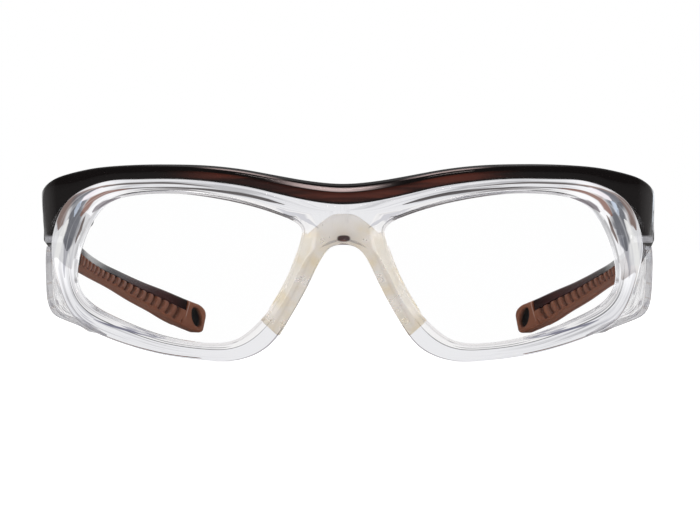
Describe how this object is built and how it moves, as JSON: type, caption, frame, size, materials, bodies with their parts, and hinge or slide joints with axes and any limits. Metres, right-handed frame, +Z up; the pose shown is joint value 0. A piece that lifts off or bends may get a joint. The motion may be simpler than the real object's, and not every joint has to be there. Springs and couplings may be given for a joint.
{
  "type": "wraparound protective glasses",
  "caption": "Wraparound glasses with a clear one-piece front and clear lenses, a dark brow bar, clear side shields, a soft nose saddle and folding temples with ribbed grips.",
  "frame": {"origin": "on the surface that the glasses stand on, under the middle of their box: halfway from side to side and from the front to the temple tips", "axes": "+X towards the wearer's left side, +Y from the front back along the temples, +Z up"},
  "size_m": [0.1506, 0.1544, 0.0465],
  "materials": {
    "clear_front": "polished clear moulded plastic",
    "clear_lens": "optically clear, polished",
    "brown_bar": "very dark translucent brown, polished",
    "arm": "dark grey brown, satin gloss",
    "grip": "brown soft rubber, satin",
    "saddle": "milky beige translucent silicone",
    "hinge_metal": "brushed nickel silver"
  },
  "bodies": {
    "front": {"front_frame": "clear_front", "left_lens": "clear_lens", "right_lens": "clear_lens", "brow_bar": "brown_bar", "left_side_shield": "clear_front", "right_side_shield": "clear_front", "nose_saddle": "saddle", "left_front_leaf": "hinge_metal", "right_front_leaf": "hinge_metal", "left_hinge_screw": "hinge_metal", "right_hinge_screw": "hinge_metal", "left_front_leaf_screw_1": "hinge_metal", "left_front_leaf_screw_2": "hinge_metal", "right_front_leaf_screw_1": "hinge_metal", "right_front_leaf_screw_2": "hinge_metal"},
    "left_temple": {"left_temple_arm": "arm", "left_temple_grip": "grip", "left_temple_leaf": "hinge_metal", "left_temple_leaf_screw_1": "hinge_metal", "left_temple_leaf_screw_2": "hinge_metal"},
    "right_temple": {"right_temple_arm": "arm", "right_temple_grip": "grip", "right_temple_leaf": "hinge_metal", "right_temple_leaf_screw_1": "hinge_metal", "right_temple_leaf_screw_2": "hinge_metal"}
  },
  "joints": [
    {"name": "left_fold", "type": "hinge", "parent": "front", "child": "left_temple", "pos_m": [0.067, -0.04211, 0.03366], "axis": [0, 0, 1], "range_deg": [0, 86]},
    {"name": "right_fold", "type": "hinge", "parent": "front", "child": "right_temple", "pos_m": [-0.067, -0.04211, 0.03366], "axis": [0, 0, -1], "range_deg": [0, 78]}
  ]
}
